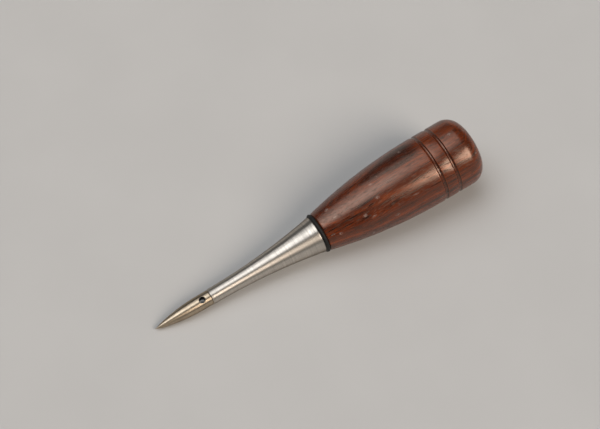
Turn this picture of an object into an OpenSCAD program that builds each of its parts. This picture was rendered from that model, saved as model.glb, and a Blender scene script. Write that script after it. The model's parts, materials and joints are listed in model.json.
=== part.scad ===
// Bradawl: a screw-in hardened point, a flared steel shank, a cushioning rubber ring
// and a turned hardwood handle. Millimetres. It lies on a level surface, as it is put
// down on a bench: it touches at the curve of the point and at the belly of the handle.
// +X runs from the point towards the butt, +Z is up.

/* [Point] */
// Diameter of the parallel land behind the curve of the point
point_d = 6.35; // [5.8:0.05:6.6]
// Length that stands out of the shank
point_len = 26; // [22:0.5:32]
// Length of the parallel land
land_len = 5; // [4:0.1:7]
// Length of the honed cone at the very tip
nose_len = 2.4; // [1.6:0.1:4]
// Diameter where the honed cone meets the curve
nose_d = 1.7; // [1:0.05:2.4]
// Chamfer round the shoulder that seats on the shank
shoulder_chamfer = 0.2; // [0.1:0.05:0.4]

/* [Cross hole] */
// Diameter of the hole that takes a bar to turn the point
cross_hole_d = 2.8; // [2:0.1:3.2]
// Distance of the hole's axis in front of the shoulder
cross_hole_back = 3.75; // [2.5:0.05:5]
// Turn of the hole about the tool's axis, away from upright
cross_hole_turn = 13; // [0:1:90]

/* [Point thread] */
// Outside diameter of the point's thread
point_thread_d = 4.166; // [3.5:0.001:4.4]
// Pitch of the point's thread
point_thread_pitch = 0.794; // [0.6:0.001:1]
// Length of the point's thread
point_thread_len = 6; // [5:0.5:9]
// Length of the plain relief between the shoulder and the thread
point_relief_len = 0.8; // [0.5:0.1:1.5]

/* [Shank] */
// Length of the shank from the point's shoulder to its rear face
shank_len = 51; // [40:0.5:70]
// Diameter at the front of the shank
shank_front_d = 6.7; // [6:0.05:7.6]
// Diameter at the rear of the shank
shank_rear_d = 16.2; // [15:0.1:17]
// Chamfer at both ends of the shank
shank_chamfer = 0.25; // [0.1:0.05:0.4]

/* [Rubber ring] */
// Diameter of the ring's round section
ring_section = 1.78; // [1.5:0.01:2.2]
// Inside diameter of the ring
ring_inside_d = 14; // [12.5:0.1:14.4]
// How much the ring is squeezed between the shank and the handle
ring_squeeze = 0.08; // [0.04:0.01:0.3]

/* [Stud] */
// Outside diameter of the stud's thread
stud_d = 6.35; // [5:0.05:7]
// Pitch of the stud's thread
stud_pitch = 1.27; // [1:0.01:1.5]
// Length of the stud
stud_len = 24; // [18:0.5:30]
// Length of the stud that is locked into the shank
stud_in_shank = 11.5; // [8:0.5:15]

/* [Insert] */
// Outside diameter of the threaded insert
insert_d = 10; // [8.5:0.1:11]
// Length of the threaded insert
insert_len = 13; // [9:0.5:18]
// Number of glue grooves round the insert
glue_grooves = 4; // [2:1:6]
// Depth of a glue groove
glue_groove_depth = 0.4; // [0.2:0.05:0.6]

/* [Handle] */
// Length of the handle
handle_len = 74.7; // [70:0.1:90]
// Diameter of the handle at its front face
handle_front_d = 17.1; // [16.6:0.1:19]
// Largest diameter of the handle
handle_d = 30; // [26:0.1:36]
// Distance from the front face to where the handle reaches its largest diameter
belly_at = 53.3; // [44:0.1:54]
// Chamfer at the front face
handle_chamfer = 0.4; // [0.2:0.05:0.8]
// Radius of the corner at the butt
butt_corner_r = 7; // [4:0.1:8]
// Radius of the shallow dome across the butt
dome_r = 40; // [28:1:80]

/* [Grooves] */
// Number of turned grooves round the handle
groove_count = 2; // [1:1:3]
// Distance of the rearmost groove from the butt
groove_back = 15; // [11:0.1:18]
// Distance between grooves
groove_step = 6.6; // [4:0.1:8]
// Width of a groove
groove_w = 1.7; // [1:0.1:2.4]
// Depth of a groove
groove_depth = 0.6; // [0.3:0.05:0.8]

/* [Clearances] */
// Radial clearance of each thread in its hole
thread_clear = 0.05; // [0.03:0.01:0.1]
// Radial glue film round the insert
glue_film = 0.05; // [0.03:0.01:0.1]
// Radial clearance of the ring on its spigot
ring_clear = 0.1; // [0.05:0.01:0.2]
// Clearance beyond the end of each thread
end_clear = 0.5; // [0.3:0.1:1]
// Gap that keeps the spigot off the wood
spigot_gap = 0.1; // [0.05:0.05:0.2]

/* [Hidden] */

$fn = 96;
// Straight steps in a long arc, in a short arc, and in one turn of a thread
long_steps = 32;
short_steps = 12;
turn_steps = 20;
// A cut runs this far past the face that it opens
over = 1;

// Share of the pitch in a thread's depth, and where its profile turns within one pitch
thread_depth_share = 0.6134;
flank_end = 5 / 16;
crest_end = 7 / 16;
root_start = 3 / 4;
// Share of the thread's depth that its run-out starts from
runout_start = 0.1;

// Stations along the tool's axis, from the tip
ring_gap = ring_section - ring_squeeze;
shoulder_at = point_len;
shank_rear_at = shoulder_at + shank_len;
handle_at = shank_rear_at + ring_gap;
overall_len = handle_at + handle_len;
stud_hole_at = handle_at - spigot_gap - stud_in_shank;

// The curve of the point: an arc from the honed cone, tangent to the land
curve_len = point_len - land_len - nose_len;
curve_rise = (point_d - nose_d) / 2;
curve_r = (curve_len ^ 2 + curve_rise ^ 2) / (2 * curve_rise);
curve_centre = [point_d / 2 - curve_r, point_len - land_len];

// The flare of the shank: an arc tangent to the axis's direction at the front
flare_rise = (shank_rear_d - shank_front_d) / 2;
flare_r = (shank_len ^ 2 + flare_rise ^ 2) / (2 * flare_rise);
flare_centre = [shank_front_d / 2 + flare_r, 0];

// The belly of the handle: an arc that ends parallel to the axis
belly_rise = (handle_d - handle_front_d) / 2;
belly_r = (belly_at ^ 2 + belly_rise ^ 2) / (2 * belly_rise);
belly_centre = [handle_d / 2 - belly_r, belly_at];

// The butt: a corner arc that meets a shallow dome without a break
corner_out = handle_d / 2 - butt_corner_r;
dome_angle = asin(corner_out / (dome_r - butt_corner_r));
corner_at = handle_len - dome_r + (dome_r - butt_corner_r) * cos(dome_angle);

// A groove is cut by a round-nosed tool of this radius, centred this far from the axis
groove_r = (groove_w ^ 2 / 4 + groove_depth ^ 2) / (2 * groove_depth);
groove_centre_out = handle_d / 2 - groove_depth + groove_r;

// Lying down: one straight line touches the curve of the point and the belly
rest_run = handle_at + belly_centre[1] - curve_centre[1];
rest_drop = curve_centre[0] - belly_centre[0];
rest_tilt = atan2(rest_run, rest_drop) - acos((belly_r - curve_r) / norm([rest_run, rest_drop]));
tip_height = curve_r + curve_centre[0] * cos(rest_tilt) - curve_centre[1] * sin(rest_tilt);
// How far the tool reaches along the surface, from the tip to the butt
dome_reach = (overall_len - dome_r) * cos(rest_tilt) + dome_r;
corner_reach = (handle_at + corner_at) * cos(rest_tilt) + corner_out * sin(rest_tilt) + butt_corner_r;
rest_reach = dome_angle > rest_tilt ? dome_reach : corner_reach;

// Points along an arc, as [distance from the axis, distance along the axis]
function arc(centre, r, from, to, steps) = [
    for (i = [0:steps])
        let (a = from + (to - from) * i / steps)
            centre + r * [cos(a), sin(a)]
];

// Puts a piece that stands on the tool's axis, tip down, where the resting tool has it
module laid(at = 0) {
    translate([-rest_reach / 2, 0, tip_height])
        rotate([0, 90 - rest_tilt, 0])
            translate([0, 0, at])
                children();
}

// A right-hand screw thread with its core, from z = 0 to z = len, running out at both ends
module thread(d, pitch, len) {
    root_r = d / 2 - thread_depth_share * pitch;
    lead = pitch / 4;
    last = floor((len - 2 * lead - root_start * pitch) / pitch * turn_steps);
    runout = turn_steps / 2;
    function rise(k) = max(runout_start, min(1, k / runout, (last - k) / runout));
    function at(k, r, share) =
        let (a = 360 * k / turn_steps)
            [r * cos(a), r * sin(a), lead + pitch * (k / turn_steps + share)];
    function crest(k) = root_r + (d / 2 - root_r) * rise(k);
    function section(k) = [
        at(k, root_r, 0),
        at(k, crest(k), flank_end),
        at(k, crest(k), crest_end),
        at(k, root_r, root_start)
    ];
    function ring(first, z) = [
        for (i = [0:turn_steps - 1])
            let (a = 360 * (first + i) / turn_steps)
                [root_r * cos(a), root_r * sin(a), z]
    ];
    function v(k, j) = 4 * k + j;
    low = 4 * (last + 1);
    high = low + turn_steps;
    function under(i) = low + i % turn_steps;
    function above(i) = high + i % turn_steps;
    top = last - turn_steps;
    ridge = [
        for (k = [0:last - 1], j = [0:2])
            [v(k, j), v(k, j + 1), v(k + 1, j + 1), v(k + 1, j)]
    ];
    root = [
        for (k = [0:top - 1])
            [v(k, 3), v(k + turn_steps, 0), v(k + turn_steps + 1, 0), v(k + 1, 3)]
    ];
    start = [
        for (i = [0:turn_steps - 2])
            [under(i), v(i, 0), v(i + 1, 0), under(i + 1)]
    ];
    start_seam = [
        under(turn_steps - 1), v(turn_steps - 1, 0), v(turn_steps, 0), v(0, 3), v(0, 0), under(0)
    ];
    finish = [
        for (i = [1:turn_steps - 1])
            [v(top + i, 3), above(i), above(i + 1), v(top + i + 1, 3)]
    ];
    finish_seam = [v(top + 1, 3), v(top, 3), v(last, 0), v(last, 3), above(0), above(1)];
    ends = [
        [v(0, 0), v(0, 3), v(0, 2), v(0, 1)],
        [v(last, 0), v(last, 1), v(last, 2), v(last, 3)],
        [for (i = [0:turn_steps - 1]) under(i)],
        [for (i = [0:turn_steps - 1]) above(turn_steps - 1 - i)]
    ];
    polyhedron(
        points = concat(
            [for (k = [0:last]) each section(k)],
            ring(0, 0),
            ring(top, len)
        ),
        faces = concat(ridge, root, start, [start_seam], finish, [finish_seam], ends),
        convexity = 10
    );
}

// The hardened point: honed cone, curve, land with its cross hole, relief and thread
module point() {
    relief_r = point_thread_d / 2 - point_thread_pitch * thread_depth_share - thread_clear;
    color("#94867a") laid() {
        difference() {
            rotate_extrude() polygon(concat(
                [[0, 0]],
                arc(curve_centre, curve_r, -asin(curve_len / curve_r), 0, long_steps),
                [
                    [point_d / 2, point_len - shoulder_chamfer],
                    [point_d / 2 - shoulder_chamfer, point_len],
                    [relief_r, point_len],
                    [relief_r, point_len + point_relief_len + over / 2],
                    [0, point_len + point_relief_len + over / 2]
                ]
            ));
            translate([0, 0, shoulder_at - cross_hole_back])
                rotate([0, 90, cross_hole_turn])
                    cylinder(d = cross_hole_d, h = point_d + 2 * over, center = true);
        }
        translate([0, 0, shoulder_at + point_relief_len])
            thread(point_thread_d, point_thread_pitch, point_thread_len);
    }
}

// The flared shank, with the point's hole in front, the ring's spigot and the stud's hole behind
module shank() {
    spigot_r = ring_inside_d / 2 - ring_clear;
    spigot_end = shank_len + ring_gap - spigot_gap;
    point_hole_len = point_relief_len + point_thread_len + end_clear;
    flare_from = 180 - asin(shank_chamfer / flare_r);
    flare_to = 180 - asin((shank_len - shank_chamfer) / flare_r);
    color("#c8c4bd") laid(shoulder_at) {
        difference() {
            rotate_extrude() polygon(concat(
                [
                    [0, 0],
                    [shank_front_d / 2 - shank_chamfer, 0]
                ],
                arc(flare_centre, flare_r, flare_from, flare_to, long_steps),
                [
                    [shank_rear_d / 2 - shank_chamfer, shank_len],
                    [spigot_r, shank_len],
                    [spigot_r, spigot_end],
                    [0, spigot_end]
                ]
            ));
            translate([0, 0, -over])
                cylinder(d = point_thread_d + 2 * thread_clear, h = point_hole_len + over);
            translate([0, 0, stud_hole_at - shoulder_at])
                cylinder(d = stud_d + 2 * thread_clear, h = stud_in_shank + over);
        }
    }
}

// The rubber ring, flattened where the shank and the handle squeeze it
module rubber_ring() {
    color("#1b1a1a") laid(shank_rear_at) {
        rotate_extrude() intersection() {
            translate([(ring_inside_d + ring_section) / 2, ring_gap / 2])
                circle(d = ring_section);
            square([ring_inside_d + ring_section, ring_gap]);
        }
    }
}

// The stud that joins the shank to the handle
module handle_stud() {
    color("#b3b2b0") laid(stud_hole_at) thread(stud_d, stud_pitch, stud_len);
}

// The brass insert that the stud screws into, grooved outside for glue
module threaded_insert() {
    groove_pitch = insert_len / (2 * glue_grooves + 1);
    color("#b99347") laid(handle_at) {
        difference() {
            cylinder(d = insert_d, h = insert_len);
            translate([0, 0, -over])
                cylinder(d = stud_d + 2 * thread_clear, h = insert_len + 2 * over);
            for (i = [0:glue_grooves - 1])
                translate([0, 0, (2 * i + 1) * groove_pitch])
                    rotate_extrude() translate([insert_d / 2 - glue_groove_depth, 0])
                        square([over, groove_pitch]);
        }
    }
}

// The turned handle, bored for the insert and for the end of the stud
module handle() {
    stud_reach = stud_hole_at + stud_len - handle_at;
    pocket_len = max(insert_len, stud_reach) + end_clear;
    color("#6b3424") laid(handle_at) {
        difference() {
            rotate_extrude() difference() {
                polygon(concat(
                    [
                        [0, 0],
                        [handle_front_d / 2 - handle_chamfer, 0]
                    ],
                    arc(belly_centre, belly_r, -asin((belly_at - handle_chamfer) / belly_r), 0, long_steps),
                    arc([corner_out, corner_at], butt_corner_r, 0, 90 - dome_angle, short_steps),
                    arc([0, handle_len - dome_r], dome_r, 90 - dome_angle, 90, short_steps)
                ));
                for (i = [0:groove_count - 1])
                    translate([groove_centre_out, handle_len - groove_back - i * groove_step])
                        circle(groove_r);
            }
            translate([0, 0, -over])
                cylinder(d = insert_d + 2 * glue_film, h = insert_len + over);
            translate([0, 0, -over])
                cylinder(d = stud_d + 2 * end_clear, h = pocket_len + over);
        }
    }
}

point();
shank();
rubber_ring();
handle_stud();
threaded_insert();
handle();
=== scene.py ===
import json
from math import asin, atan2, cos, radians, sin, sqrt, tau
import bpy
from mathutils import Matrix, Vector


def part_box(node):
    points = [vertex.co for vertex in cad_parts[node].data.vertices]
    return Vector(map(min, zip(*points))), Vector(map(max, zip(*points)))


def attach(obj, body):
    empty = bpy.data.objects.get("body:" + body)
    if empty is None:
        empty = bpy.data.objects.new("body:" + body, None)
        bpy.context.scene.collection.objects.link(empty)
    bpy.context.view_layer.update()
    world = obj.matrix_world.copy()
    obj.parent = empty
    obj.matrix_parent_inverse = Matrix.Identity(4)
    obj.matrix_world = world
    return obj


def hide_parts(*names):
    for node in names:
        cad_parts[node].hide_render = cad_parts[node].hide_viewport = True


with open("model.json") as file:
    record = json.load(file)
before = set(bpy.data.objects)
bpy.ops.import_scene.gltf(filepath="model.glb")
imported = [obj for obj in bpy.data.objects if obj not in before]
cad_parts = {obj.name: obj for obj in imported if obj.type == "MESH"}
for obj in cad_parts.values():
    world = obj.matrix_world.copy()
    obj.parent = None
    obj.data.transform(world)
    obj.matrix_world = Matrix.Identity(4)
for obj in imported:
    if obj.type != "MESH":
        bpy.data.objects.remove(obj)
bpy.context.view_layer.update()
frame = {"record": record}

from types import SimpleNamespace

import bmesh
import bpy
from bpy.props import FloatProperty, FloatVectorProperty, IntProperty, PointerProperty
from mathutils import Matrix, Vector

bl_info = {
    "name": "Bradawl",
    "version": (1, 0, 0),
    "blender": (4, 5, 0),
    "location": "3D View > Sidebar > Bradawl",
    "description": "Builds a bradawl with a screw-in point and a turned hardwood handle",
    "category": "Add Mesh",
}

MM = 0.001
MOUNTS = {mount["name"]: mount for mount in frame["record"]["mounts"]}

# The tool's own axis runs along +X from the tip; LAID puts it where the resting tool lies
TIP = Vector(MOUNTS["working_tip"]["pos_m"])
AXIS = -Vector(MOUNTS["working_tip"]["axis"])
TILT = atan2(AXIS.z, AXIS.x)
LAID = Matrix.Translation(TIP) @ Matrix.Rotation(-TILT, 4, "Y")

# Doubles closer than this are one point
WELD = 2e-7
# Steps round a turned piece and round one turn of a thread
TURN_STEPS = 192
THREAD_STEPS = 48
# Faces that meet at a larger angle than this stay crisp
CRISP = radians(32)

# Rows along the point's land, which keep the faces round the cross hole small
LAND_ROWS = 40

# Where the tree's heart lies beside the tool, in millimetres, how many growth shells there are
# per millimetre, which of them the handle shows, and where in the trunk it was cut
PITH = (0.0, -20.0, -60.0)
SHELLS_PER_MM = 0.42
SHELL_SHIFT = 0.58
CUT_FROM = (355.4, -56.4, 0.0)
# How much the shells taper along the trunk, and how far the grain wanders, in millimetres
TRUNK_TAPER = (0.02, 1.0, 1.0)
WANDER = (0.0, 9.0, 9.0)
# Shares of shells, fibres and broad figure in the wood's tone, where its colours lie on that
# tone, and how dark the second of them is beside the main colour
SHELL_SHARE = 0.62
FIBRE_SHARE = 0.45
FIGURE_SHARE = 0.22
TONE_STOPS = (0.46, 0.56, 0.66, 0.83)
SECOND_SHADE = 0.62
# How well streaks, pores, end grain and handling marks cover the wood
STREAK_COVER = 0.85
PORE_COVER = 0.7
END_COVER = 0.6
END_PORE_COVER = 0.95
MARK_COVER = 0.62
# Where the end grain begins and where it is full, in millimetres before the butt
END_BEGINS = 8.0
END_FULL = 1.0
# Painted shade on the walls of a groove, and where it ends at the mouth, in shares of half its
# width; a painted highlight line along its rim at this share, and its reach in millimetres
GROOVE_SHADE_WALL = (0.35, 0.7)
GROOVE_SHADE_MOUTH = (0.9, 1.0)
GROOVE_HIGHLIGHT_LINE = 1.1
RIM_HIGHLIGHT_REACH = (0.05, 0.2)
# How much fibres and pores roughen the wood
FIBRE_ROUGH = 0.16
PORE_ROUGH = 0.2
# Relief of the wood: height of a fibre in millimetres, and pores, marks and lathe lines beside it
FIBRE_HEIGHT = 0.022
PORE_HEIGHT = -0.6
MARK_HEIGHT = -0.8
LATHE_HEIGHT = 0.35
# How strongly the oil on the wood mirrors, and in which tint
OIL_MIRROR = 0.95
OIL_TINT = (1.0, 0.74, 0.6, 1.0)

# Turned metal: share of fine lines beside coarse ones, and how much wider the coarse ones are
FINE_SHARE = 0.6
COARSE_WIDTH = 4
# Turned metal: how the lines and the smudges change its roughness, how dark a smudge is, and the
# tint of the metal at a grazing look
LINE_ROUGH = (0.06, -0.05)
SMUDGE_ROUGH = 0.1
SMUDGE_SHADE = 0.55
GRAZING_TINT = (0.35, 0.33, 0.31, 1.0)
# How far turning lines smear a highlight, and how much that way leans outwards per millimetre
# from the axis, which only an end face shows
METAL_SMEAR = 0.75
END_FACE_LEAN = 0.02

# Painted shade in the cross hole: tone of its dark flakes and how metallic it is; rubber: how
# many times paler its dust is
FLAKE_SHADE = 0.5
BORE_SHADE_METAL = 0.6
DUST_PALER = 5
# Height of flakes and of the rubber's tooth, in millimetres
FLAKE_HEIGHT = 0.02
TOOTH_HEIGHT = 0.02
# How strongly rubber and floor mirror, and how rough the floor is
RUBBER_MIRROR = 0.3
FLOOR_MIRROR = 0.2
FLOOR_ROUGH = 0.75

# Where the lights stand as seen from the tool, and their tints: the bright middle of the
# overhead light, its dimmer surround and the warm side light
KEY_WAY = (-0.29, 0.18, 0.94)
SURROUND_WAY = (-0.23, 0.32, 0.92)
SIDE_WAY = (0.36, -0.67, 0.65)
KEY_TINT = (0.96, 0.98, 1.0)
SIDE_TINT = (1.0, 0.89, 0.78)
# Between these heights above the horizon, as sines, the pale rim of the sky fades
HORIZON_FADE = (0.05, 0.15)

# Nearest and farthest place that the camera sees, in metres
CLIP_NEAR = 0.01
CLIP_FAR = 100.0

# Thread form: depth as a share of the pitch, and where the ridge turns within one pitch
THREAD_DEPTH = 0.6134
FLANK_END = 5 / 16
CREST_END = 7 / 16
ROOT_START = 3 / 4
# A ridge is sunk into its core by this share of its depth, runs out over this many turns at both
# ends, and begins there with this share of its height
RIDGE_SINK = 0.25
RUNOUT_TURNS = 0.5
RUNOUT_START = 0.1
# The end of a thread's core is bevelled by this share of its radius
THREAD_LEAD = 1 / 4


def length(name, description, millimetres):
    """A length property whose default is given in millimetres."""
    return FloatProperty(
        name=name,
        description=description,
        default=millimetres * MM,
        min=0.0,
        precision=5,
        subtype="DISTANCE",
        unit="LENGTH",
    )


def colour(name, description, value):
    """A colour property in linear red, green and blue."""
    return FloatVectorProperty(
        name=name,
        description=description,
        default=value,
        min=0.0,
        max=1.0,
        size=3,
        subtype="COLOR",
    )


def share(name, description, value):
    """A property between nothing and all."""
    return FloatProperty(
        name=name, description=description, default=value, min=0.0, max=1.0, subtype="FACTOR"
    )


def width_mm(node):
    """How wide a node of the frame is across the tool, in millimetres."""
    low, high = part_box(node)
    return (high.y - low.y) / MM


class BradawlSizes(bpy.types.PropertyGroup):
    """Sizes of the tool's pieces."""

    point_d: length("Point diameter", "Diameter of the point's land", width_mm("point"))
    point_len: length("Point length", "Length that stands out of the shank", 26)
    land_len: length("Land length", "Length of the parallel land", 5)
    nose_len: length("Nose length", "Length of the honed cone at the tip", 2.4)
    nose_d: length("Nose diameter", "Diameter where the cone meets the curve", 1.7)
    tip_round: length("Tip rounding", "Radius that honing leaves on the very tip", 0.06)
    shoulder_chamfer: length("Shoulder chamfer", "Chamfer round the point's shoulder", 0.2)
    hole_break: length("Hole edge", "Width of the broken edge round the cross hole", 0.08)
    point_thread_d: length("Point thread", "Outside diameter of the point's thread", 4.166)
    point_thread_pitch: length("Point pitch", "Pitch of the point's thread", 0.794)
    point_thread_len: length("Point thread length", "Length of the point's thread", 6)
    point_relief_len: length("Relief", "Plain neck between shoulder and thread", 0.8)
    shank_len: length("Shank length", "From the point's shoulder to the rear face", 51)
    shank_front_d: length("Shank front", "Diameter at the front of the shank", 6.7)
    shank_rear_d: length("Shank rear", "Diameter at the rear of the shank", width_mm("shank"))
    shank_chamfer: length("Shank chamfer", "Chamfer at both ends of the shank", 0.25)
    ring_section: length("Ring section", "Diameter of the ring's round section", 1.78)
    ring_inside_d: length("Ring inside", "Inside diameter of the ring", 14)
    ring_squeeze: length("Ring squeeze", "How much the ring is squeezed", 0.08)
    stud_d: length("Stud diameter", "Outside diameter of the stud", width_mm("handle_stud"))
    stud_pitch: length("Stud pitch", "Pitch of the stud's thread", 1.27)
    stud_len: length("Stud length", "Length of the stud", 24)
    stud_in_shank: length("Stud in shank", "Length of the stud inside the shank", 11.5)
    insert_d: length("Insert diameter", "Outside of the insert", width_mm("threaded_insert"))
    insert_len: length("Insert length", "Length of the threaded insert", 13)
    glue_grooves: IntProperty(
        name="Glue grooves", description="Grooves round the insert", default=4, min=2, max=6
    )
    glue_groove_depth: length("Glue groove depth", "Depth of a glue groove", 0.4)
    handle_len: length("Handle length", "Length of the handle", 74.7)
    handle_front_d: length("Handle front", "Diameter of the handle's front face", 17.1)
    handle_d: length("Handle diameter", "Largest diameter", width_mm("handle"))
    belly_at: length("Belly", "From the front face to the largest diameter", 53.3)
    handle_chamfer: length("Handle chamfer", "Chamfer at the front face", 0.4)
    butt_corner_r: length("Butt corner", "Radius of the corner at the butt", 7)
    dome_r: length("Dome", "Radius of the shallow dome across the butt", 40)
    groove_count: IntProperty(
        name="Grooves", description="Turned grooves round the handle", default=2, min=1, max=3
    )
    groove_back: length("Groove place", "Rearmost groove from the butt", 15)
    groove_step: length("Groove step", "Distance between grooves", 6.6)
    groove_w: length("Groove width", "Width of a groove", 1.7)
    groove_depth: length("Groove depth", "Depth of a groove", 0.6)
    thread_clear: length("Thread clearance", "Radial clearance of a thread in its hole", 0.05)
    glue_film: length("Glue film", "Radial glue film round the insert", 0.05)
    ring_clear: length("Ring clearance", "Radial clearance of the ring", 0.1)
    end_clear: length("End clearance", "Clearance beyond the end of a thread", 0.5)
    spigot_gap: length("Spigot gap", "Gap that keeps the spigot off the wood", 0.1)
    metal_edge: length("Metal edge", "Rounding of a turned metal edge", 0.14)
    wood_edge: length("Wood edge", "Rounding of a turned wooden edge", 0.16)


class BradawlFinishes(bpy.types.PropertyGroup):
    """Colours and gloss of the tool's materials."""

    wood_dark: colour("Dark streaks", "Darkest streaks of the wood", (0.007, 0.0022, 0.0014))
    wood_brown: colour("Heartwood", "Main colour of the wood", (0.094, 0.0145, 0.0024))
    wood_light: colour("Light bands", "Lightest bands of the wood", (0.21, 0.039, 0.0068))
    wood_end: colour("End grain", "Wood across the butt", (0.19, 0.036, 0.005))
    wood_mark: colour("Handling marks", "Pale dust in dents", (0.42, 0.33, 0.29))
    wood_gloss: share("Wood roughness", "Roughness of the oiled wood", 0.25)
    satin_steel: colour("Satin steel", "Turned stainless steel of the shank", (0.58, 0.535, 0.48))
    satin_gloss: share("Satin roughness", "Roughness of the shank", 0.38)
    point_steel: colour("Point steel", "Hardened steel of the point", (0.50, 0.41, 0.305))
    point_gloss: share("Point roughness", "Roughness of the point", 0.34)
    # Painted shade: dark colour laid inside the cross hole where the bore lies in shade
    scale: colour("Scale", "Black scale inside the cross hole", (0.03, 0.025, 0.021))
    rubber: colour("Rubber", "Black rubber of the ring", (0.008, 0.0075, 0.007))
    stud_steel: colour("Stud steel", "Rolled steel of the stud", (0.55, 0.54, 0.52))
    brass: colour("Brass", "Turned brass of the insert", (0.62, 0.42, 0.15))


class BradawlStage(bpy.types.PropertyGroup):
    """Floor, lamps and camera."""

    floor: colour("Floor", "Pale floor", (0.50, 0.496, 0.49))
    floor_size: length("Floor size", "Side of the square floor", 14000)
    sky: share("Sky", "Strength of the even light from all round", 0.07)
    backdrop: colour("Backdrop", "Pale rim of the sky behind the floor", (0.46, 0.457, 0.45))
    key_strength: FloatProperty(
        name="Key light", description="Bright middle of the overhead light", default=0.6, min=0.0
    )
    key_spread: FloatProperty(
        name="Key spread", description="How wide it looks", default=radians(36), subtype="ANGLE"
    )
    surround_strength: FloatProperty(
        name="Surround", description="Dimmer surround of the key light", default=1.21, min=0.0
    )
    surround_spread: FloatProperty(
        name="Surround spread",
        description="How wide it looks",
        default=radians(66),
        subtype="ANGLE",
    )
    side_strength: FloatProperty(
        name="Side light", description="Strength of the warm side light", default=2.1, min=0.0
    )
    side_spread: FloatProperty(
        name="Side spread", description="How wide it looks", default=radians(34), subtype="ANGLE"
    )
    camera_lens: FloatProperty(
        name="Lens", description="Focal length", default=90.0, unit="CAMERA"
    )
    camera_azimuth: FloatProperty(
        name="Azimuth", description="Turn of the camera", default=radians(-30.852), subtype="ANGLE"
    )
    camera_elevation: FloatProperty(
        name="Elevation", description="Height angle", default=radians(60.229), subtype="ANGLE"
    )
    camera_distance: length("Distance", "From the camera to the floor it looks at", 636.7)
    look_at: FloatVectorProperty(
        name="Look at",
        description="Point on the floor in the middle of the picture",
        default=(2.005 * MM, 16.578 * MM, 0.0),
        size=3,
        subtype="TRANSLATION",
        unit="LENGTH",
    )


def stations(s):
    """Places along the axis from the tip, worked out from the sizes."""
    shank_rear = s.point_len + s.shank_len
    ring_gap = s.ring_section - s.ring_squeeze
    handle_at = shank_rear + ring_gap
    stud_at = handle_at - s.spigot_gap - s.stud_in_shank
    return SimpleNamespace(
        shank_rear=shank_rear,
        ring_gap=ring_gap,
        handle_at=handle_at,
        butt=handle_at + s.handle_len,
        stud_at=stud_at,
        stud_end=stud_at + s.stud_len,
        grooves=sorted(
            handle_at + s.handle_len - s.groove_back - i * s.groove_step
            for i in range(s.groove_count)
        ),
    )


def start(bm, along, out):
    """Sets the pen down on a new outline, which lies in the plane of the axis and +Z."""
    return bm.verts.new((along, 0.0, out))


def line(bm, pen, along, out):
    """Draws a straight stretch and returns the pen at its end."""
    end = bmesh.ops.extrude_vert_indiv(bm, verts=[pen])["verts"][0]
    end.co = (along, 0.0, out)
    return end


def arc(bm, pen, centre_along, centre_out, along, out, steps):
    """Draws an arc round a centre to a place on the same circle."""
    centre = Vector((centre_along, 0.0, centre_out))
    begin = pen.co - centre
    finish = Vector((along, 0.0, out)) - centre
    made = bmesh.ops.spin(
        bm,
        geom=[pen],
        cent=centre,
        axis=(0.0, 1.0, 0.0),
        angle=begin.xz.angle_signed(finish.xz),
        steps=steps,
    )
    return made["geom_last"][0]


def round_corners(bm, corners, radius):
    """Rounds the named corners of an outline."""
    bmesh.ops.bevel(
        bm,
        geom=corners,
        offset=radius,
        offset_type="OFFSET",
        segments=4,
        profile=0.5,
        affect="VERTICES",
        clamp_overlap=True,
        material=-1,
    )


def turn(bm):
    """Turns the drawn outline once round the tool's axis into a closed solid."""
    bmesh.ops.spin(
        bm,
        geom=bm.verts[:] + bm.edges[:],
        cent=(0.0, 0.0, 0.0),
        axis=(1.0, 0.0, 0.0),
        angle=tau,
        steps=TURN_STEPS,
        use_merge=True,
    )
    bmesh.ops.remove_doubles(bm, verts=bm.verts[:], dist=WELD)
    bmesh.ops.recalc_face_normals(bm, faces=bm.faces[:])


def add_ridge(bm, at, along, diameter, pitch):
    """Winds a right-hand thread's ridge round a core, as a closed strip sunk into it."""
    crest = diameter / 2
    root = crest - THREAD_DEPTH * pitch
    foot = root - RIDGE_SINK * (crest - root)
    turns = (along - ROOT_START * pitch) / pitch
    steps = int(turns * THREAD_STEPS)
    ridge = bmesh.new()
    section = [
        start(ridge, at, foot),
        start(ridge, at + FLANK_END * pitch, crest),
        start(ridge, at + CREST_END * pitch, crest),
        start(ridge, at + ROOT_START * pitch, foot),
    ]
    sides = [ridge.edges.new((section[i - 1], section[i])) for i in range(len(section))]
    bmesh.ops.spin(
        ridge,
        geom=section + sides,
        cent=(0.0, 0.0, 0.0),
        axis=(1.0, 0.0, 0.0),
        dvec=(pitch / THREAD_STEPS, 0.0, 0.0),
        angle=tau * steps / THREAD_STEPS,
        steps=steps,
    )
    bmesh.ops.holes_fill(ridge, edges=[e for e in ridge.edges if e.is_boundary], sides=len(section))
    middle = at + (FLANK_END + CREST_END) / 2 * pitch
    for vert in ridge.verts:
        out = vert.co.yz.length
        if out > root:
            turns_in = (vert.co.x - middle) / pitch
            turns_left = steps / THREAD_STEPS - turns_in
            rise = max(RUNOUT_START, min(1.0, turns_in / RUNOUT_TURNS, turns_left / RUNOUT_TURNS))
            pull = (root + (crest - root) * rise) / out
            vert.co.yz = vert.co.yz * pull
    bmesh.ops.recalc_face_normals(ridge, faces=ridge.faces[:])
    kept = bpy.data.meshes.new("ridge")
    ridge.to_mesh(kept)
    ridge.free()
    bm.from_mesh(kept)
    bpy.data.meshes.remove(kept)


def finish_piece(bm, name, body, node, material):
    """Lays a turned piece where it rests, smooths it and makes it stand for its node."""
    bmesh.ops.transform(bm, matrix=LAID, verts=bm.verts[:])
    mesh = bpy.data.meshes.new(name)
    bm.to_mesh(mesh)
    bm.free()
    mesh.shade_smooth()
    mesh.set_sharp_from_angle(angle=CRISP)
    mesh.materials.append(material)
    piece = bpy.data.objects.new(name, mesh)
    bpy.context.scene.collection.objects.link(piece)
    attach(piece, body)
    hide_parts(node)
    return piece


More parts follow.
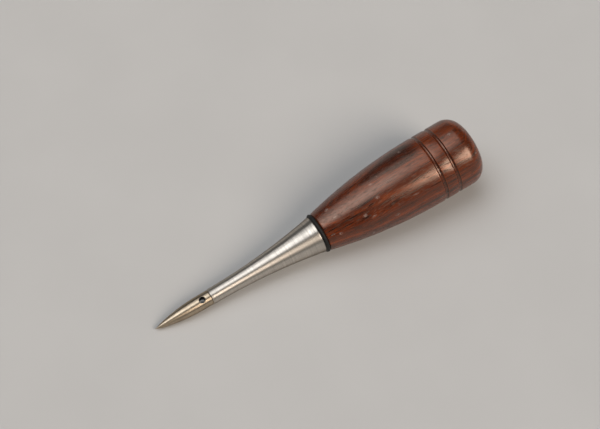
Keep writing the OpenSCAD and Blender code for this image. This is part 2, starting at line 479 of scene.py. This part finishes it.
def add(tree, kind, inputs, **settings):
    """Adds a shader node; inputs maps a socket's name or number to a value or a socket."""
    node = tree.nodes.new("ShaderNode" + kind)
    for key, value in settings.items():
        setattr(node, key, value)
    for key, value in inputs.items():
        join(tree, node.inputs[key], value)
    return node


def join(tree, socket, value):
    """Sets a socket to a constant, or links another socket to it."""
    if isinstance(value, bpy.types.NodeSocket):
        tree.links.new(value, socket)
    else:
        socket.default_value = value


def calc(tree, operation, *values):
    """A sum, product or other arithmetic on numbers."""
    return add(tree, "Math", dict(enumerate(values)), operation=operation).outputs[0]


def between(tree, value, edge, to=(0.0, 1.0)):
    """Eases a number from the range of an edge into another range."""
    inputs = {
        "Value": value,
        "From Min": edge[0],
        "From Max": edge[1],
        "To Min": to[0],
        "To Max": to[1],
    }
    return add(tree, "MapRange", inputs, interpolation_type="SMOOTHSTEP").outputs[0]


def move(tree, operation, place, by):
    """A sum, product or other arithmetic on places."""
    return add(tree, "VectorMath", {0: place, 1: by}, operation=operation).outputs[0]


def mix(tree, amount, under, over, mode="MIX"):
    """Lays one colour over another."""
    node = add(tree, "Mix", {0: amount, 6: under, 7: over}, data_type="RGBA", blend_type=mode)
    return node.outputs[2]


def ramp(tree, value, stops):
    """A run of colours along a number."""
    node = add(tree, "ValToRGB", {0: value})
    points = node.color_ramp.elements
    while len(points) < len(stops):
        points.new(1.0)
    for point, (place, tint) in zip(points, stops):
        point.position = place
        point.color = rgba(tint)
    return node.outputs[0]


def grain(tree, at, stretch, detail=2.0, roughness=0.5):
    """Noise whose scale along the tool, sideways and upwards is given per millimetre."""
    placed = add(tree, "Mapping", {"Vector": at, "Scale": stretch}).outputs[0]
    inputs = {"Vector": placed, "Scale": 1.0, "Detail": detail, "Roughness": roughness}
    return add(tree, "TexNoise", inputs).outputs["Fac"]


def new_finish(name):
    """A material, its tree and shader, and places on the tool in millimetres from the tip."""
    material = bpy.data.materials.new(name)
    material.use_nodes = True
    tree = material.node_tree
    shader = tree.nodes["Principled BSDF"]
    place = add(tree, "TexCoord", {}).outputs["Object"]
    inputs = {"Vector": place, "Location": TIP, "Rotation": (0.0, -TILT, 0.0), "Scale": (MM,) * 3}
    at = add(tree, "Mapping", inputs, vector_type="TEXTURE").outputs[0]
    return material, tree, shader, at


def bump(tree, shader, height, millimetres, strength):
    """Raises the surface by a height pattern."""
    inputs = {"Height": height, "Distance": millimetres * MM, "Strength": strength}
    join(tree, shader.inputs["Normal"], add(tree, "Bump", inputs).outputs[0])


def rgba(tint):
    """A colour property with full opacity."""
    return (*tint, 1.0)


def scaled(values, by):
    """A colour or a range, with every number multiplied."""
    return [value * by for value in values]


def scatter(tree, at, stretch, lean, spared):
    """Small marks strewn over a surface; a cell whose draw lies below the spared range has none."""
    placed = add(tree, "Mapping", {"Vector": at, "Rotation": lean, "Scale": stretch}).outputs[0]
    cells = add(tree, "TexVoronoi", {"Vector": placed, "Scale": 1.0})
    near = between(tree, cells.outputs["Distance"], edge=(0.08, 0.18), to=(1.0, 0.0))
    draw = add(tree, "SeparateColor", {0: cells.outputs["Color"]}).outputs[0]
    return calc(tree, "MULTIPLY", near, between(tree, draw, edge=spared))


def hardwood(f, s):
    """Oiled dark red hardwood: wandering shells, fibres, pores, end grain and handling marks."""
    material, tree, shader, at = new_finish("hardwood")
    k = stations(s)
    dark = rgba(f.wood_dark)

    # The grain wanders slowly sideways along the handle
    trunk = move(tree, "ADD", at, CUT_FROM)
    slow = add(tree, "Mapping", {"Vector": trunk, "Scale": (0.016, 0.045, 0.045)}).outputs[0]
    wander = add(tree, "TexNoise", {"Vector": slow, "Scale": 1.0, "Detail": 2.0}).outputs["Color"]
    noise_middle = (0.5, 0.5, 0.5)
    wander = move(tree, "SUBTRACT", wander, noise_middle)
    wander = move(tree, "MULTIPLY", wander, WANDER)
    strayed = move(tree, "ADD", at, wander)
    grown = move(tree, "ADD", trunk, wander)

    # Growth shells: irregular bands round a pith that lies beside the handle
    spoke = move(tree, "MULTIPLY", move(tree, "SUBTRACT", strayed, PITH), TRUNK_TAPER)
    out = add(tree, "VectorMath", {0: spoke}, operation="LENGTH").outputs["Value"]
    year = calc(tree, "MULTIPLY_ADD", out, SHELLS_PER_MM, SHELL_SHIFT)
    inputs = {"W": year, "Scale": 1.0, "Detail": 3.0, "Roughness": 0.62}
    shells = add(tree, "TexNoise", inputs, noise_dimensions="1D").outputs["Fac"]
    fibres = grain(tree, grown, stretch=(0.045, 1.9, 1.9), detail=5.0, roughness=0.62)
    figure = grain(tree, trunk, stretch=(0.05, 0.11, 0.11), detail=3.0)
    tone = calc(tree, "MULTIPLY", shells, SHELL_SHARE)
    tone = calc(tree, "MULTIPLY_ADD", fibres, FIBRE_SHARE, tone)
    tone = calc(tree, "MULTIPLY_ADD", figure, FIGURE_SHARE, tone)
    second = scaled(f.wood_brown, SECOND_SHADE)
    tints = (f.wood_dark, second, f.wood_brown, f.wood_light)
    base = ramp(tree, tone, list(zip(TONE_STOPS, tints)))

    # Dark mineral streaks run in clusters along the grain
    lines = grain(tree, grown, stretch=(0.018, 1.1, 1.1), detail=3.0, roughness=0.55)
    clouds = grain(tree, grown, stretch=(0.012, 0.1, 0.1), detail=1.0)
    lines = between(tree, lines, edge=(0.55, 0.63))
    clouds = between(tree, clouds, edge=(0.44, 0.6))
    streaks = calc(tree, "MULTIPLY", lines, clouds)
    base = mix(tree, calc(tree, "MULTIPLY", streaks, STREAK_COVER), base, dark)

    # Pores: short dark dashes along the grain, which show as dots on the end
    dashes = grain(tree, grown, stretch=(0.34, 2.1, 2.1), roughness=0.6)
    pores = between(tree, dashes, edge=(0.54, 0.63))
    base = mix(tree, calc(tree, "MULTIPLY", pores, PORE_COVER), base, dark)

    # End grain drinks more oil and turns orange across the butt
    along = add(tree, "SeparateXYZ", {0: at}).outputs[0]
    end = k.butt / MM
    butt = between(tree, along, edge=(end - END_BEGINS, end - END_FULL), to=(0.0, END_COVER))
    arcs = between(tree, shells, edge=(0.36, 0.64), to=(0.35, 1.15))
    ended = mix(tree, 1.0, rgba(f.wood_end), arcs, "MULTIPLY")
    ended = mix(tree, calc(tree, "MULTIPLY", pores, END_PORE_COVER), ended, dark)
    base = mix(tree, butt, base, ended)

    # Painted shade darkens the walls of each groove, and a painted highlight lightens its rim
    half = s.groove_w / MM / 2
    for groove in k.grooves:
        off = calc(tree, "ABSOLUTE", calc(tree, "SUBTRACT", along, groove / MM))
        painted_wall_shade = between(tree, off, edge=scaled(GROOVE_SHADE_WALL, half), to=(0.25, 0.7))
        inside = between(tree, off, edge=scaled(GROOVE_SHADE_MOUTH, half), to=(1.0, 0.0))
        base = mix(tree, calc(tree, "MULTIPLY", painted_wall_shade, inside), base, dark)
        # Painted highlight: a thin line of the light wood colour along the groove's rim
        from_highlight_line = calc(tree, "ABSOLUTE", calc(tree, "SUBTRACT", off, half * GROOVE_HIGHLIGHT_LINE))
        worn = between(tree, from_highlight_line, edge=RIM_HIGHLIGHT_REACH, to=(0.5, 0.0))
        base = mix(tree, worn, base, rgba(f.wood_light))

    # Pale dents and dust from handling
    dents = scatter(
        tree, at, stretch=(0.15, 0.19, 0.19), lean=(0.0, 0.0, 0.0), spared=(0.3, 0.34)
    )
    scratches = scatter(
        tree, at, stretch=(0.10, 0.34, 0.34), lean=(0.0, 0.4, 1.1), spared=(0.55, 0.59)
    )
    ragged = grain(tree, at, stretch=(3.0, 3.0, 3.0), detail=3.0)
    ragged = between(tree, ragged, edge=(0.45, 0.6))
    marks = calc(tree, "MULTIPLY", calc(tree, "MAXIMUM", dents, scratches), ragged)
    base = mix(tree, calc(tree, "MULTIPLY", marks, MARK_COVER), base, rgba(f.wood_mark))
    join(tree, shader.inputs["Base Color"], base)

    rough = calc(tree, "MULTIPLY_ADD", fibres, FIBRE_ROUGH, f.wood_gloss - FIBRE_ROUGH / 2)
    rough = calc(tree, "MULTIPLY_ADD", pores, PORE_ROUGH, rough)
    join(tree, shader.inputs["Roughness"], rough)
    height = calc(tree, "MULTIPLY_ADD", pores, PORE_HEIGHT, fibres)
    height = calc(tree, "MULTIPLY_ADD", marks, MARK_HEIGHT, height)
    lathe = grain(tree, at, stretch=(1.5, 0.03, 0.03), detail=3.0, roughness=0.6)
    height = calc(tree, "MULTIPLY_ADD", lathe, LATHE_HEIGHT, height)
    bump(tree, shader, height, FIBRE_HEIGHT, strength=0.45)
    shader.inputs["Specular IOR Level"].default_value = OIL_MIRROR
    shader.inputs["Specular Tint"].default_value = OIL_TINT
    return material


def smear_way(tree, at):
    """Which way turning lines smear a highlight: along the axis, and outwards on an end face."""
    inputs = {0: at, 1: (0.0, END_FACE_LEAN, END_FACE_LEAN), 2: (1.0, 0.0, 0.0)}
    way = add(tree, "VectorMath", inputs, operation="MULTIPLY_ADD").outputs[0]
    inputs = {"Vector": way, "Rotation": (0.0, -TILT, 0.0)}
    way = add(tree, "Mapping", inputs, vector_type="VECTOR").outputs[0]
    spaces = {"vector_type": "VECTOR", "convert_from": "OBJECT", "convert_to": "WORLD"}
    return add(tree, "VectorTransform", {"Vector": way}, **spaces).outputs[0]


def turned_metal(name, tint, gloss, lines_per_mm, line_height, stain):
    """Turned metal: fine lines round the axis, slow smudges and a trace of stain."""
    material, tree, shader, at = new_finish(name)
    join(tree, shader.inputs["Tangent"], smear_way(tree, at))
    shader.inputs["Anisotropic"].default_value = METAL_SMEAR
    fine = grain(tree, at, stretch=(lines_per_mm, 0.03, 0.03), roughness=0.55)
    coarse = grain(tree, at, stretch=(lines_per_mm / COARSE_WIDTH, 0.02, 0.02))
    smudge = grain(tree, at, stretch=(0.12, 0.2, 0.2), detail=3.0, roughness=0.6)
    lines = calc(tree, "MULTIPLY", coarse, 1 - FINE_SHARE)
    lines = calc(tree, "MULTIPLY_ADD", fine, FINE_SHARE, lines)
    worn = between(tree, lines, edge=(0.35, 0.65), to=(0.84, 1.06))
    base = mix(tree, 1.0, rgba(tint), worn, "MULTIPLY")
    spots = between(tree, smudge, edge=(0.5, 0.75), to=(0.0, stain))
    base = mix(tree, spots, base, rgba(scaled(tint, SMUDGE_SHADE)))
    join(tree, shader.inputs["Base Color"], base)
    shader.inputs["Metallic"].default_value = 1.0
    shader.inputs["Specular Tint"].default_value = GRAZING_TINT
    even = gloss - SMUDGE_ROUGH / 2
    rough = between(tree, lines, edge=(0.3, 0.7), to=[even + change for change in LINE_ROUGH])
    rough = calc(tree, "MULTIPLY_ADD", smudge, SMUDGE_ROUGH, rough)
    join(tree, shader.inputs["Roughness"], rough)
    bump(tree, shader, lines, line_height, strength=0.4)
    return material


def painted_bore_shade(f):
    """Painted shade inside the cross hole: dark flaky colour where the bore lies in shade."""
    material, tree, shader, at = new_finish("painted_bore_shade")
    flakes = grain(tree, at, stretch=(4.0, 4.0, 4.0), detail=4.0, roughness=0.6)
    base = ramp(tree, flakes, ((0.35, scaled(f.scale, FLAKE_SHADE)), (0.7, f.scale)))
    join(tree, shader.inputs["Base Color"], base)
    rough = between(tree, flakes, edge=(0.3, 0.7), to=(0.45, 0.7))
    join(tree, shader.inputs["Roughness"], rough)
    bump(tree, shader, flakes, FLAKE_HEIGHT, strength=0.5)
    shader.inputs["Metallic"].default_value = BORE_SHADE_METAL
    return material


def black_rubber(f):
    """Matte black rubber with a fine tooth and a little dust."""
    material, tree, shader, at = new_finish("black_rubber")
    tooth = grain(tree, at, stretch=(9.0, 9.0, 9.0), detail=3.0, roughness=0.6)
    dust = grain(tree, at, stretch=(1.1, 1.1, 1.1), detail=4.0, roughness=0.7)
    dust = between(tree, dust, edge=(0.56, 0.78), to=(0.0, 0.35))
    base = mix(tree, dust, rgba(f.rubber), rgba(scaled(f.rubber, DUST_PALER)))
    join(tree, shader.inputs["Base Color"], base)
    rough = between(tree, tooth, edge=(0.3, 0.7), to=(0.48, 0.64))
    join(tree, shader.inputs["Roughness"], rough)
    bump(tree, shader, tooth, TOOTH_HEIGHT, strength=0.6)
    shader.inputs["Specular IOR Level"].default_value = RUBBER_MIRROR
    return material


def floor_finish(tint):
    """Plain pale floor with the faintest mottle."""
    material, tree, shader, at = new_finish("floor")
    mottle = grain(tree, at, stretch=(0.02, 0.02, 0.02), detail=3.0)
    mottle = between(tree, mottle, edge=(0.3, 0.7), to=(0.97, 1.0))
    join(tree, shader.inputs["Base Color"], mix(tree, 1.0, rgba(tint), mottle, "MULTIPLY"))
    shader.inputs["Roughness"].default_value = FLOOR_ROUGH
    shader.inputs["Specular IOR Level"].default_value = FLOOR_MIRROR
    return material


class BRADAWL_OT_point(bpy.types.Operator):
    """Turns the hardened point, drills its cross hole and cuts its thread"""

    bl_idname = "bradawl.point"
    bl_label = "Point"

    def execute(self, context):
        s = context.scene.bradawl_sizes
        f = context.scene.bradawl_finishes
        land = s.point_d / 2
        nose = s.nose_d / 2
        curve_len = s.point_len - s.land_len - s.nose_len
        curve_r = (curve_len**2 + (land - nose) ** 2) / (2 * (land - nose))
        root = s.point_thread_d / 2 - THREAD_DEPTH * s.point_thread_pitch
        neck = root - s.thread_clear
        thread_at = s.point_len + s.point_relief_len
        thread_end = thread_at + s.point_thread_len
        land_at = s.point_len - s.land_len

        bm = bmesh.new()
        slope = atan2(nose, s.nose_len)
        pen = start(bm, 0.0, 0.0)
        touch = s.tip_round * (1 - sin(slope))
        pen = arc(bm, pen, s.tip_round, 0.0, touch, s.tip_round * cos(slope), steps=4)
        pen = line(bm, pen, s.nose_len, nose)
        pen = arc(bm, pen, land_at, land - curve_r, land_at, land, steps=64)
        row_len = (s.land_len - s.shoulder_chamfer) / LAND_ROWS
        for row in range(1, LAND_ROWS + 1):
            pen = line(bm, pen, land_at + row_len * row, land)
        corners = [pen]
        pen = line(bm, pen, s.point_len, land - s.shoulder_chamfer)
        corners.append(pen)
        pen = line(bm, pen, s.point_len, neck)
        pen = line(bm, pen, thread_at, neck)
        pen = line(bm, pen, thread_at, root)
        lead = root * THREAD_LEAD
        pen = line(bm, pen, thread_end - lead, root)
        pen = line(bm, pen, thread_end, root - lead)
        line(bm, pen, thread_end, 0.0)
        round_corners(bm, corners, s.metal_edge)
        turn(bm)

        material = turned_metal(
            "point_steel", f.point_steel, f.point_gloss,
            lines_per_mm=7.0, line_height=0.0006, stain=0.5,
        )
        piece = finish_piece(bm, "point_body", "point", "point", material)
        self.drill(context, piece, s)
        self.cut_thread(piece, s, thread_at)
        return {"FINISHED"}

    def drill(self, context, piece, s):
        """Cuts the cross hole with a broken edge at both ends, and keeps the cut mesh."""
        hole = MOUNTS["cross_hole"]
        radius = hole["dims"]["r_mm"] * MM
        reach = s.point_d
        bm = bmesh.new()
        pen = start(bm, -reach, 0.0)
        pen = line(bm, pen, -reach, radius)
        pen = line(bm, pen, reach, radius)
        line(bm, pen, reach, 0.0)
        turn(bm)
        stand = Vector(hole["axis"]).to_track_quat("X", "Z").to_matrix().to_4x4()
        place = Matrix.Translation(Vector(hole["pos_m"])) @ stand
        bmesh.ops.transform(bm, matrix=place, verts=bm.verts[:])
        mesh = bpy.data.meshes.new("cross_drill")
        bm.to_mesh(mesh)
        bm.free()
        # The bore's faces take the painted shade material as the point's second material
        for face in mesh.polygons:
            face.material_index = 1
        piece.data.materials.append(painted_bore_shade(context.scene.bradawl_finishes))
        cutter = bpy.data.objects.new("cross_drill", mesh)
        context.scene.collection.objects.link(cutter)
        cut = piece.modifiers.new("cross_hole", "BOOLEAN")
        cut.operation = "DIFFERENCE"
        cut.solver = "EXACT"
        cut.object = cutter
        seen = piece.evaluated_get(context.evaluated_depsgraph_get())
        drilled = bpy.data.meshes.new_from_object(seen)
        piece.modifiers.remove(cut)
        old = piece.data
        piece.data = drilled
        bpy.data.meshes.remove(old)
        bpy.data.objects.remove(cutter)
        bpy.data.meshes.remove(mesh)
        drilled.name = "point_body"
        bm = bmesh.new()
        bm.from_mesh(drilled)
        rims = [
            edge for edge in bm.edges
            if len({face.material_index for face in edge.link_faces}) > 1
        ]
        broken = bmesh.ops.bevel(
            bm,
            geom=rims,
            offset=s.hole_break,
            offset_type="OFFSET",
            segments=2,
            profile=0.5,
            affect="EDGES",
            clamp_overlap=True,
            material=-1,
        )
        for face in broken["faces"]:
            face.material_index = 0
        bm.to_mesh(drilled)
        bm.free()

    def cut_thread(self, piece, s, thread_at):
        """Winds the ridge on after the drilling, because drilling needs one plain closed solid."""
        bm = bmesh.new()
        add_ridge(bm, thread_at, s.point_thread_len, s.point_thread_d, s.point_thread_pitch)
        bmesh.ops.transform(bm, matrix=LAID, verts=bm.verts[:])
        bm.from_mesh(piece.data)
        bm.to_mesh(piece.data)
        bm.free()
        piece.data.shade_smooth()
        piece.data.set_sharp_from_angle(angle=CRISP)


class BRADAWL_OT_shank(bpy.types.Operator):
    """Turns the flared shank with its chamfers, spigot and two threaded holes"""

    bl_idname = "bradawl.shank"
    bl_label = "Shank"

    def execute(self, context):
        s = context.scene.bradawl_sizes
        f = context.scene.bradawl_finishes
        k = stations(s)
        front = s.shank_front_d / 2
        rear = s.shank_rear_d / 2
        rise = rear - front
        flare_r = (s.shank_len**2 + rise**2) / (2 * rise)
        spigot = s.ring_inside_d / 2 - s.ring_clear
        spigot_end = k.handle_at - s.spigot_gap
        point_bore = s.point_thread_d / 2 + s.thread_clear
        point_bore_end = s.point_len + s.point_relief_len + s.point_thread_len + s.end_clear
        stud_bore = s.stud_d / 2 + s.thread_clear

        def flare_at(along):
            return front + flare_r - sqrt(flare_r**2 - (along - s.point_len) ** 2)

        flare_start = s.point_len + s.shank_chamfer
        flare_end = k.shank_rear - s.shank_chamfer
        bm = bmesh.new()
        pen = start(bm, point_bore_end, 0.0)
        pen = line(bm, pen, point_bore_end, point_bore)
        pen = line(bm, pen, s.point_len, point_bore)
        pen = line(bm, pen, s.point_len, front - s.shank_chamfer)
        corners = [pen]
        pen = line(bm, pen, flare_start, flare_at(flare_start))
        corners.append(pen)
        pen = arc(bm, pen, s.point_len, front + flare_r, flare_end, flare_at(flare_end), steps=72)
        corners.append(pen)
        pen = line(bm, pen, k.shank_rear, rear - s.shank_chamfer)
        corners.append(pen)
        pen = line(bm, pen, k.shank_rear, spigot)
        pen = line(bm, pen, spigot_end, spigot)
        corners.append(pen)
        pen = line(bm, pen, spigot_end, stud_bore)
        pen = line(bm, pen, k.stud_at, stud_bore)
        line(bm, pen, k.stud_at, 0.0)
        round_corners(bm, corners, s.metal_edge)
        turn(bm)
        material = turned_metal(
            "satin_steel", f.satin_steel, f.satin_gloss,
            lines_per_mm=5.0, line_height=0.0014, stain=0.2,
        )
        finish_piece(bm, "shank_body", "shank", "shank", material)
        return {"FINISHED"}


class BRADAWL_OT_rubber_ring(bpy.types.Operator):
    """Moulds the rubber ring, flattened where the shank and the handle squeeze it"""

    bl_idname = "bradawl.rubber_ring"
    bl_label = "Rubber ring"

    def execute(self, context):
        s = context.scene.bradawl_sizes
        k = stations(s)
        section = s.ring_section / 2
        out = s.ring_inside_d / 2 + section
        middle = k.shank_rear + k.ring_gap / 2
        flat = sqrt(section**2 - (k.ring_gap / 2) ** 2)
        bm = bmesh.new()
        pen = start(bm, k.shank_rear, out - flat)
        pen = line(bm, pen, k.shank_rear, out + flat)
        pen = arc(bm, pen, middle, out, middle, out + section, steps=12)
        pen = arc(bm, pen, middle, out, k.handle_at, out + flat, steps=12)
        pen = line(bm, pen, k.handle_at, out - flat)
        pen = arc(bm, pen, middle, out, middle, out - section, steps=12)
        arc(bm, pen, middle, out, k.shank_rear, out - flat, steps=12)
        turn(bm)
        material = black_rubber(context.scene.bradawl_finishes)
        finish_piece(bm, "ring_body", "ring", "rubber_ring", material)
        return {"FINISHED"}


class BRADAWL_OT_stud(bpy.types.Operator):
    """Rolls the threaded stud that joins the shank to the handle"""

    bl_idname = "bradawl.stud"
    bl_label = "Stud"

    def execute(self, context):
        s = context.scene.bradawl_sizes
        f = context.scene.bradawl_finishes
        k = stations(s)
        root = s.stud_d / 2 - THREAD_DEPTH * s.stud_pitch
        lead = root * THREAD_LEAD
        bm = bmesh.new()
        pen = start(bm, k.stud_at, 0.0)
        pen = line(bm, pen, k.stud_at, root - lead)
        pen = line(bm, pen, k.stud_at + lead, root)
        pen = line(bm, pen, k.stud_end - lead, root)
        pen = line(bm, pen, k.stud_end, root - lead)
        line(bm, pen, k.stud_end, 0.0)
        turn(bm)
        add_ridge(bm, k.stud_at, s.stud_len, s.stud_d, s.stud_pitch)
        material = turned_metal(
            "stud_steel", f.stud_steel, f.satin_gloss,
            lines_per_mm=9.0, line_height=0.0012, stain=0.4,
        )
        finish_piece(bm, "stud_body", "shank", "handle_stud", material)
        return {"FINISHED"}


class BRADAWL_OT_insert(bpy.types.Operator):
    """Turns the brass insert with its glue grooves"""

    bl_idname = "bradawl.insert"
    bl_label = "Insert"

    def execute(self, context):
        s = context.scene.bradawl_sizes
        f = context.scene.bradawl_finishes
        k = stations(s)
        outside = s.insert_d / 2
        bottom = outside - s.glue_groove_depth
        bore = s.stud_d / 2 + s.thread_clear
        end = k.handle_at + s.insert_len
        pitch = s.insert_len / (2 * s.glue_grooves + 1)
        bm = bmesh.new()
        first = start(bm, k.handle_at, bore)
        pen = line(bm, first, k.handle_at, outside)
        corners = [first, pen]
        for i in range(s.glue_grooves):
            near = k.handle_at + (2 * i + 1) * pitch
            far = near + pitch
            for along, out in ((near, outside), (near, bottom), (far, bottom), (far, outside)):
                pen = line(bm, pen, along, out)
                corners.append(pen)
        pen = line(bm, pen, end, outside)
        corners.append(pen)
        pen = line(bm, pen, end, bore)
        corners.append(pen)
        bm.edges.new((pen, first))
        round_corners(bm, corners, s.metal_edge)
        turn(bm)
        material = turned_metal(
            "brass", f.brass, f.satin_gloss, lines_per_mm=6.0, line_height=0.0012, stain=0.3
        )
        finish_piece(bm, "insert_body", "handle", "threaded_insert", material)
        return {"FINISHED"}


class BRADAWL_OT_handle(bpy.types.Operator):
    """Turns the hardwood handle with its belly, grooves, domed butt and bored front"""

    bl_idname = "bradawl.handle"
    bl_label = "Handle"

    def execute(self, context):
        s = context.scene.bradawl_sizes
        k = stations(s)
        front = s.handle_front_d / 2
        belly = s.handle_d / 2
        belly_r = (s.belly_at**2 + (belly - front) ** 2) / (2 * (belly - front))
        belly_at = k.handle_at + s.belly_at
        corner_out = belly - s.butt_corner_r
        dome_turn = asin(corner_out / (s.dome_r - s.butt_corner_r))
        dome_at = k.butt - s.dome_r
        corner_at = dome_at + (s.dome_r - s.butt_corner_r) * cos(dome_turn)
        groove_r = (s.groove_w**2 / 4 + s.groove_depth**2) / (2 * s.groove_depth)
        groove_out = belly - s.groove_depth + groove_r
        groove_rise = sqrt(groove_r**2 - s.groove_w**2 / 4)
        insert_bore = s.insert_d / 2 + s.glue_film
        insert_end = k.handle_at + s.insert_len
        pocket = s.stud_d / 2 + s.end_clear
        pocket_end = max(insert_end, k.stud_end) + s.end_clear

        def belly_out(along):
            return belly - belly_r + sqrt(belly_r**2 - min(0.0, along - belly_at) ** 2)

        bm = bmesh.new()
        pen = start(bm, pocket_end, 0.0)
        pen = line(bm, pen, pocket_end, pocket)
        pen = line(bm, pen, insert_end, pocket)
        pen = line(bm, pen, insert_end, insert_bore)
        pen = line(bm, pen, k.handle_at, insert_bore)
        pen = line(bm, pen, k.handle_at, front - s.handle_chamfer)
        corners = [pen]
        chamfer_end = k.handle_at + s.handle_chamfer
        pen = line(bm, pen, chamfer_end, belly_out(chamfer_end))
        corners.append(pen)
        for number, groove in enumerate(k.grooves):
            near = groove - s.groove_w / 2
            far = groove + s.groove_w / 2
            if number == 0:
                pen = arc(bm, pen, belly_at, belly - belly_r, near, belly_out(near), steps=72)
            else:
                pen = line(bm, pen, near, groove_out - groove_rise)
            corners.append(pen)
            pen = arc(bm, pen, groove, groove_out, groove, groove_out - groove_r, steps=8)
            pen = arc(bm, pen, groove, groove_out, far, groove_out - groove_rise, steps=8)
            pen.co.z = belly_out(far)
            corners.append(pen)
        pen = line(bm, pen, corner_at, belly)
        corner_end = s.butt_corner_r * sin(dome_turn) + corner_out
        pen = arc(
            bm, pen, corner_at, corner_out,
            corner_at + s.butt_corner_r * cos(dome_turn), corner_end, steps=28,
        )
        arc(bm, pen, dome_at, 0.0, k.butt, 0.0, steps=24)
        round_corners(bm, corners, s.wood_edge)
        turn(bm)
        material = hardwood(context.scene.bradawl_finishes, s)
        finish_piece(bm, "handle_body", "handle", "handle", material)
        return {"FINISHED"}


class BRADAWL_OT_stage(bpy.types.Operator):
    """Lays the pale floor, hangs the soft lamps and sets the camera"""

    bl_idname = "bradawl.stage"
    bl_label = "Stage"

    def execute(self, context):
        stage = context.scene.bradawl_stage
        bm = bmesh.new()
        bmesh.ops.create_grid(bm, x_segments=1, y_segments=1, size=stage.floor_size / 2)
        mesh = bpy.data.meshes.new("floor")
        bm.to_mesh(mesh)
        bm.free()
        mesh.materials.append(floor_finish(stage.floor))
        floor = bpy.data.objects.new("floor", mesh)
        context.scene.collection.objects.link(floor)

        self.sun("key_light", KEY_WAY, stage.key_spread, stage.key_strength, KEY_TINT)
        self.sun(
            "key_surround", SURROUND_WAY, stage.surround_spread, stage.surround_strength, KEY_TINT
        )
        self.sun("side_light", SIDE_WAY, stage.side_spread, stage.side_strength, SIDE_TINT)
        self.sky(context, stage)
        self.camera(context, stage)
        context.scene.view_settings.view_transform = "Standard"
        return {"FINISHED"}

    def sun(self, name, way, spread, strength, tint):
        """A broad soft light from far away, which lights the whole floor alike."""
        light = bpy.data.lights.new(name, "SUN")
        light.angle = spread
        light.energy = strength
        light.color = tint
        lamp = bpy.data.objects.new(name, light)
        lamp.rotation_mode = "QUATERNION"
        lamp.rotation_quaternion = Vector(way).to_track_quat("Z", "Y")
        bpy.context.scene.collection.objects.link(lamp)

    def sky(self, context, stage):
        """Dim even light from above, with a low pale rim that continues the floor."""
        world = bpy.data.worlds.new("sky")
        world.use_nodes = True
        tree = world.node_tree
        way = add(tree, "TexCoord", {}).outputs["Generated"]
        height = add(tree, "SeparateXYZ", {0: way}).outputs[2]
        rim = between(tree, height, edge=HORIZON_FADE, to=(1.0, 0.0))
        shade = mix(tree, rim, rgba([stage.sky] * 3), rgba(stage.backdrop))
        join(tree, tree.nodes["Background"].inputs["Color"], shade)
        context.scene.world = world

    def camera(self, context, stage):
        """A long lens above the tool, turned so that the tool runs up to the right."""
        lens = bpy.data.cameras.new("camera")
        lens.lens = stage.camera_lens
        lens.clip_start = CLIP_NEAR
        lens.clip_end = CLIP_FAR
        camera = bpy.data.objects.new("camera", lens)
        turned = stage.camera_azimuth
        raised = stage.camera_elevation
        back = Vector((sin(turned) * cos(raised), -cos(turned) * cos(raised), sin(raised)))
        camera.location = Vector(stage.look_at) + back * stage.camera_distance
        camera.rotation_mode = "QUATERNION"
        camera.rotation_quaternion = (-back).to_track_quat("-Z", "Y")
        context.scene.collection.objects.link(camera)
        context.scene.camera = camera


OPERATORS = (
    BRADAWL_OT_point,
    BRADAWL_OT_shank,
    BRADAWL_OT_rubber_ring,
    BRADAWL_OT_stud,
    BRADAWL_OT_insert,
    BRADAWL_OT_handle,
    BRADAWL_OT_stage,
)


class BRADAWL_PT_panel(bpy.types.Panel):
    """Lists the steps that build the bradawl"""

    bl_idname = "BRADAWL_PT_panel"
    bl_label = "Bradawl"
    bl_space_type = "VIEW_3D"
    bl_region_type = "UI"
    bl_category = "Bradawl"

    def draw(self, context):
        for operator in OPERATORS:
            self.layout.operator(operator.bl_idname)


CLASSES = (BradawlSizes, BradawlFinishes, BradawlStage, *OPERATORS, BRADAWL_PT_panel)


def register():
    for made in CLASSES:
        bpy.utils.register_class(made)
    bpy.types.Scene.bradawl_sizes = PointerProperty(type=BradawlSizes)
    bpy.types.Scene.bradawl_finishes = PointerProperty(type=BradawlFinishes)
    bpy.types.Scene.bradawl_stage = PointerProperty(type=BradawlStage)


def unregister():
    del bpy.types.Scene.bradawl_stage
    del bpy.types.Scene.bradawl_finishes
    del bpy.types.Scene.bradawl_sizes
    for made in reversed(CLASSES):
        bpy.utils.unregister_class(made)


def main():
    register()
    bpy.ops.bradawl.point()
    bpy.ops.bradawl.shank()
    bpy.ops.bradawl.rubber_ring()
    bpy.ops.bradawl.stud()
    bpy.ops.bradawl.insert()
    bpy.ops.bradawl.handle()
    bpy.ops.bradawl.stage()


if __name__ == "__main__":
    main()
